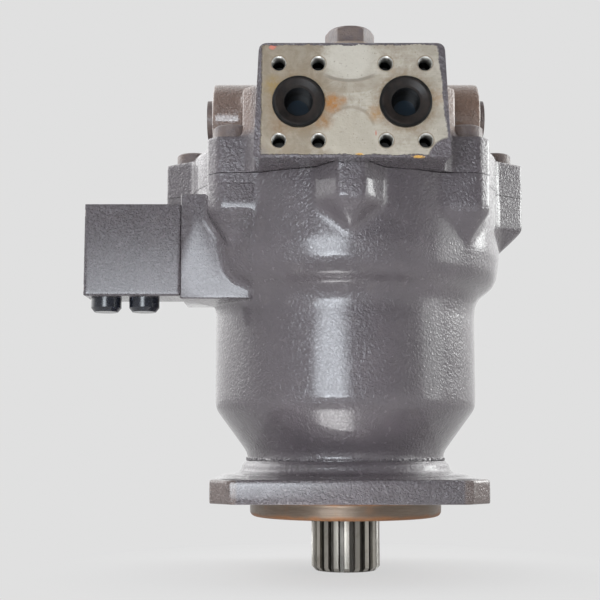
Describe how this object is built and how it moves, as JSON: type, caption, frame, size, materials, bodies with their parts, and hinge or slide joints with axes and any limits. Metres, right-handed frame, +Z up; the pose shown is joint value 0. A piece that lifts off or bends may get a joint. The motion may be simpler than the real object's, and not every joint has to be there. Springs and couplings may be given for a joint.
{
  "type": "hydraulic swing motor",
  "caption": "Hydraulic axial-piston swing motor with a square flange, splined output shaft, twin flange ports, relief bosses, a brake valve block and a spring-applied disc brake inside.",
  "frame": {"origin": "centre of the mounting flange's lower face, on the shaft axis", "axes": "+Z up along the shaft axis, away from the splined end; -Y is the side with the two ports"},
  "size_m": [0.327, 0.2924, 0.3787],
  "materials": {
    "casing_paint": "thick glossy paint on cast iron",
    "fastener_paint": "paint over steel",
    "ground_steel": "ground",
    "shaft_steel": "machined and oiled",
    "block_iron": "machined",
    "plate_steel": "plain",
    "spring_steel": "oiled",
    "bronze": "machined bronze",
    "seal_rubber": "matte",
    "black_plastic": "moulded"
  },
  "bodies": {
    "housing": {"casing": "casing_paint", "valve_cover": "casing_paint", "cover_bolts": "fastener_paint", "front_cover_bolt": "fastener_paint", "cover_o_ring": "seal_rubber", "front_bearing_outer_ring": "ground_steel", "rear_bearing_outer_ring": "ground_steel", "seal_carrier": "block_iron", "shaft_seal": "seal_rubber", "seal_snap_ring": "plate_steel", "swash_plate": "ground_steel", "valve_plate": "bronze", "locating_pins": "ground_steel", "separator_plates": "plate_steel", "relief_cartridges": "fastener_paint", "check_valve_plugs": "fastener_paint", "brake_valve_block": "casing_paint", "brake_valve_screws": "fastener_paint", "brake_valve_plugs": "black_plastic", "port_plugs": "black_plastic", "case_plugs": "fastener_paint"},
    "rotor": {"drive_shaft": "shaft_steel", "cylinder_block": "block_iron", "block_spring": "spring_steel", "ball_guide": "ground_steel", "friction_plates": "plate_steel", "front_bearing_inner_ring": "ground_steel", "rear_bearing_inner_ring": "ground_steel"},
    "front_rollers": {"front_bearing_rollers": "ground_steel"},
    "rear_rollers": {"rear_bearing_rollers": "ground_steel"},
    "retainer": {"retainer_plate": "block_iron"},
    "shoe_body_1": {"shoe_1": "bronze"},
    "piston_body_1": {"piston_1": "shaft_steel"},
    "shoe_body_2": {"shoe_2": "bronze"},
    "piston_body_2": {"piston_2": "shaft_steel"},
    "shoe_body_3": {"shoe_3": "bronze"},
    "piston_body_3": {"piston_3": "shaft_steel"},
    "shoe_body_4": {"shoe_4": "bronze"},
    "piston_body_4": {"piston_4": "shaft_steel"},
    "shoe_body_5": {"shoe_5": "bronze"},
    "piston_body_5": {"piston_5": "shaft_steel"},
    "shoe_body_6": {"shoe_6": "bronze"},
    "piston_body_6": {"piston_6": "shaft_steel"},
    "shoe_body_7": {"shoe_7": "bronze"},
    "piston_body_7": {"piston_7": "shaft_steel"},
    "shoe_body_8": {"shoe_8": "bronze"},
    "piston_body_8": {"piston_8": "shaft_steel"},
    "shoe_body_9": {"shoe_9": "bronze"},
    "piston_body_9": {"piston_9": "shaft_steel"},
    "brake_ring": {"brake_piston": "block_iron", "brake_springs": "spring_steel", "brake_piston_seals": "seal_rubber"},
    "relief_left": {"relief_poppet_left": "ground_steel", "relief_spring_left": "spring_steel"},
    "relief_right": {"relief_poppet_right": "ground_steel", "relief_spring_right": "spring_steel"},
    "check_left": {"check_ball_left": "ground_steel"},
    "check_right": {"check_ball_right": "ground_steel"},
    "spool": {"brake_spool": "ground_steel", "brake_spool_spring": "spring_steel"}
  },
  "joints": [
    {"name": "rotor_spin", "type": "hinge", "parent": "housing", "child": "rotor", "pos_m": [0, 0, 0.1], "axis": [0, 0, 1], "continuous": true},
    {"name": "front_cage_spin", "type": "hinge", "parent": "housing", "child": "front_rollers", "pos_m": [0, 0, 0.0195], "axis": [0, 0, 1], "continuous": true},
    {"name": "rear_cage_spin", "type": "hinge", "parent": "housing", "child": "rear_rollers", "pos_m": [0, 0, 0.2395], "axis": [0, 0, 1], "continuous": true},
    {"name": "retainer_spin", "type": "hinge", "parent": "housing", "child": "retainer", "pos_m": [0, 0, 0.082], "axis": [0, -0.2756, 0.9613], "continuous": true},
    {"name": "shoe_orbit_1", "type": "hinge", "parent": "retainer", "child": "shoe_body_1", "pos_m": [0, 0.04903, 0.09606], "axis": [0, -0.2756, 0.9613], "continuous": true},
    {"name": "piston_ball_1", "type": "hinge", "parent": "shoe_body_1", "child": "piston_body_1", "pos_m": [0, 0.05, 0.09634], "axis": [0, -0.2756, 0.9613], "continuous": true},
    {"name": "shoe_orbit_2", "type": "hinge", "parent": "retainer", "child": "shoe_body_2", "pos_m": [-0.03279, 0.03756, 0.09277], "axis": [0, -0.2756, 0.9613], "continuous": true},
    {"name": "piston_ball_2", "type": "hinge", "parent": "shoe_body_2", "child": "piston_body_2", "pos_m": [-0.03214, 0.0383, 0.09298], "axis": [0, -0.2756, 0.9613], "continuous": true},
    {"name": "shoe_orbit_3", "type": "hinge", "parent": "retainer", "child": "shoe_body_3", "pos_m": [-0.05023, 0.00851, 0.08444], "axis": [0, -0.2756, 0.9613], "continuous": true},
    {"name": "piston_ball_3", "type": "hinge", "parent": "shoe_body_3", "child": "piston_body_3", "pos_m": [-0.04924, 0.00868, 0.08449], "axis": [0, -0.2756, 0.9613], "continuous": true},
    {"name": "shoe_orbit_4", "type": "hinge", "parent": "retainer", "child": "shoe_body_4", "pos_m": [-0.04417, -0.02452, 0.07497], "axis": [0, -0.2756, 0.9613], "continuous": true},
    {"name": "piston_ball_4", "type": "hinge", "parent": "shoe_body_4", "child": "piston_body_4", "pos_m": [-0.0433, -0.025, 0.07483], "axis": [0, -0.2756, 0.9613], "continuous": true},
    {"name": "shoe_orbit_5", "type": "hinge", "parent": "retainer", "child": "shoe_body_5", "pos_m": [-0.01745, -0.04607, 0.06879], "axis": [0, -0.2756, 0.9613], "continuous": true},
    {"name": "piston_ball_5", "type": "hinge", "parent": "shoe_body_5", "child": "piston_body_5", "pos_m": [-0.0171, -0.04698, 0.06853], "axis": [0, -0.2756, 0.9613], "continuous": true},
    {"name": "shoe_orbit_6", "type": "hinge", "parent": "retainer", "child": "shoe_body_6", "pos_m": [0.01745, -0.04607, 0.06879], "axis": [0, -0.2756, 0.9613], "continuous": true},
    {"name": "piston_ball_6", "type": "hinge", "parent": "shoe_body_6", "child": "piston_body_6", "pos_m": [0.0171, -0.04698, 0.06853], "axis": [0, -0.2756, 0.9613], "continuous": true},
    {"name": "shoe_orbit_7", "type": "hinge", "parent": "retainer", "child": "shoe_body_7", "pos_m": [0.04417, -0.02452, 0.07497], "axis": [0, -0.2756, 0.9613], "continuous": true},
    {"name": "piston_ball_7", "type": "hinge", "parent": "shoe_body_7", "child": "piston_body_7", "pos_m": [0.0433, -0.025, 0.07483], "axis": [0, -0.2756, 0.9613], "continuous": true},
    {"name": "shoe_orbit_8", "type": "hinge", "parent": "retainer", "child": "shoe_body_8", "pos_m": [0.05023, 0.00851, 0.08444], "axis": [0, -0.2756, 0.9613], "continuous": true},
    {"name": "piston_ball_8", "type": "hinge", "parent": "shoe_body_8", "child": "piston_body_8", "pos_m": [0.04924, 0.00868, 0.08449], "axis": [0, -0.2756, 0.9613], "continuous": true},
    {"name": "shoe_orbit_9", "type": "hinge", "parent": "retainer", "child": "shoe_body_9", "pos_m": [0.03279, 0.03756, 0.09277], "axis": [0, -0.2756, 0.9613], "continuous": true},
    {"name": "piston_ball_9", "type": "hinge", "parent": "shoe_body_9", "child": "piston_body_9", "pos_m": [0.03214, 0.0383, 0.09298], "axis": [0, -0.2756, 0.9613], "continuous": true},
    {"name": "brake_release", "type": "slide", "parent": "housing", "child": "brake_ring", "axis": [0, 0, 1], "range_m": [0, 0.002], "stiffness_N_per_m": 40000, "springref_m": -0.003, "deforming": ["brake_springs"]},
    {"name": "relief_open_left", "type": "slide", "parent": "housing", "child": "relief_left", "axis": [-1, 0, 0], "range_m": [0, 0.0015], "stiffness_N_per_m": 20000, "springref_m": -0.003},
    {"name": "relief_open_right", "type": "slide", "parent": "housing", "child": "relief_right", "axis": [1, 0, 0], "range_m": [0, 0.0015], "stiffness_N_per_m": 20000, "springref_m": -0.003},
    {"name": "check_lift_left", "type": "slide", "parent": "housing", "child": "check_left", "axis": [0, 0, 1], "range_m": [0, 0.003]},
    {"name": "check_lift_right", "type": "slide", "parent": "housing", "child": "check_right", "axis": [0, 0, 1], "range_m": [0, 0.003]},
    {"name": "spool_lift", "type": "slide", "parent": "housing", "child": "spool", "axis": [0, 0, 1], "range_m": [0, 0.005], "stiffness_N_per_m": 2000, "springref_m": -0.004, "deforming": ["brake_spool_spring"]}
  ],
  "couplings": [
    {"joint": "front_cage_spin", "follows": "rotor_spin", "ratio": 0.43701},
    {"joint": "rear_cage_spin", "follows": "rotor_spin", "ratio": 0.44537},
    {"joint": "retainer_spin", "follows": "rotor_spin", "ratio": 1},
    {"joint": "shoe_orbit_1", "follows": "rotor_spin", "ratio": -2},
    {"joint": "piston_ball_1", "follows": "rotor_spin", "ratio": 1},
    {"joint": "shoe_orbit_2", "follows": "rotor_spin", "ratio": -2},
    {"joint": "piston_ball_2", "follows": "rotor_spin", "ratio": 1},
    {"joint": "shoe_orbit_3", "follows": "rotor_spin", "ratio": -2},
    {"joint": "piston_ball_3", "follows": "rotor_spin", "ratio": 1},
    {"joint": "shoe_orbit_4", "follows": "rotor_spin", "ratio": -2},
    {"joint": "piston_ball_4", "follows": "rotor_spin", "ratio": 1},
    {"joint": "shoe_orbit_5", "follows": "rotor_spin", "ratio": -2},
    {"joint": "piston_ball_5", "follows": "rotor_spin", "ratio": 1},
    {"joint": "shoe_orbit_6", "follows": "rotor_spin", "ratio": -2},
    {"joint": "piston_ball_6", "follows": "rotor_spin", "ratio": 1},
    {"joint": "shoe_orbit_7", "follows": "rotor_spin", "ratio": -2},
    {"joint": "piston_ball_7", "follows": "rotor_spin", "ratio": 1},
    {"joint": "shoe_orbit_8", "follows": "rotor_spin", "ratio": -2},
    {"joint": "piston_ball_8", "follows": "rotor_spin", "ratio": 1},
    {"joint": "shoe_orbit_9", "follows": "rotor_spin", "ratio": -2},
    {"joint": "piston_ball_9", "follows": "rotor_spin", "ratio": 1}
  ]
}
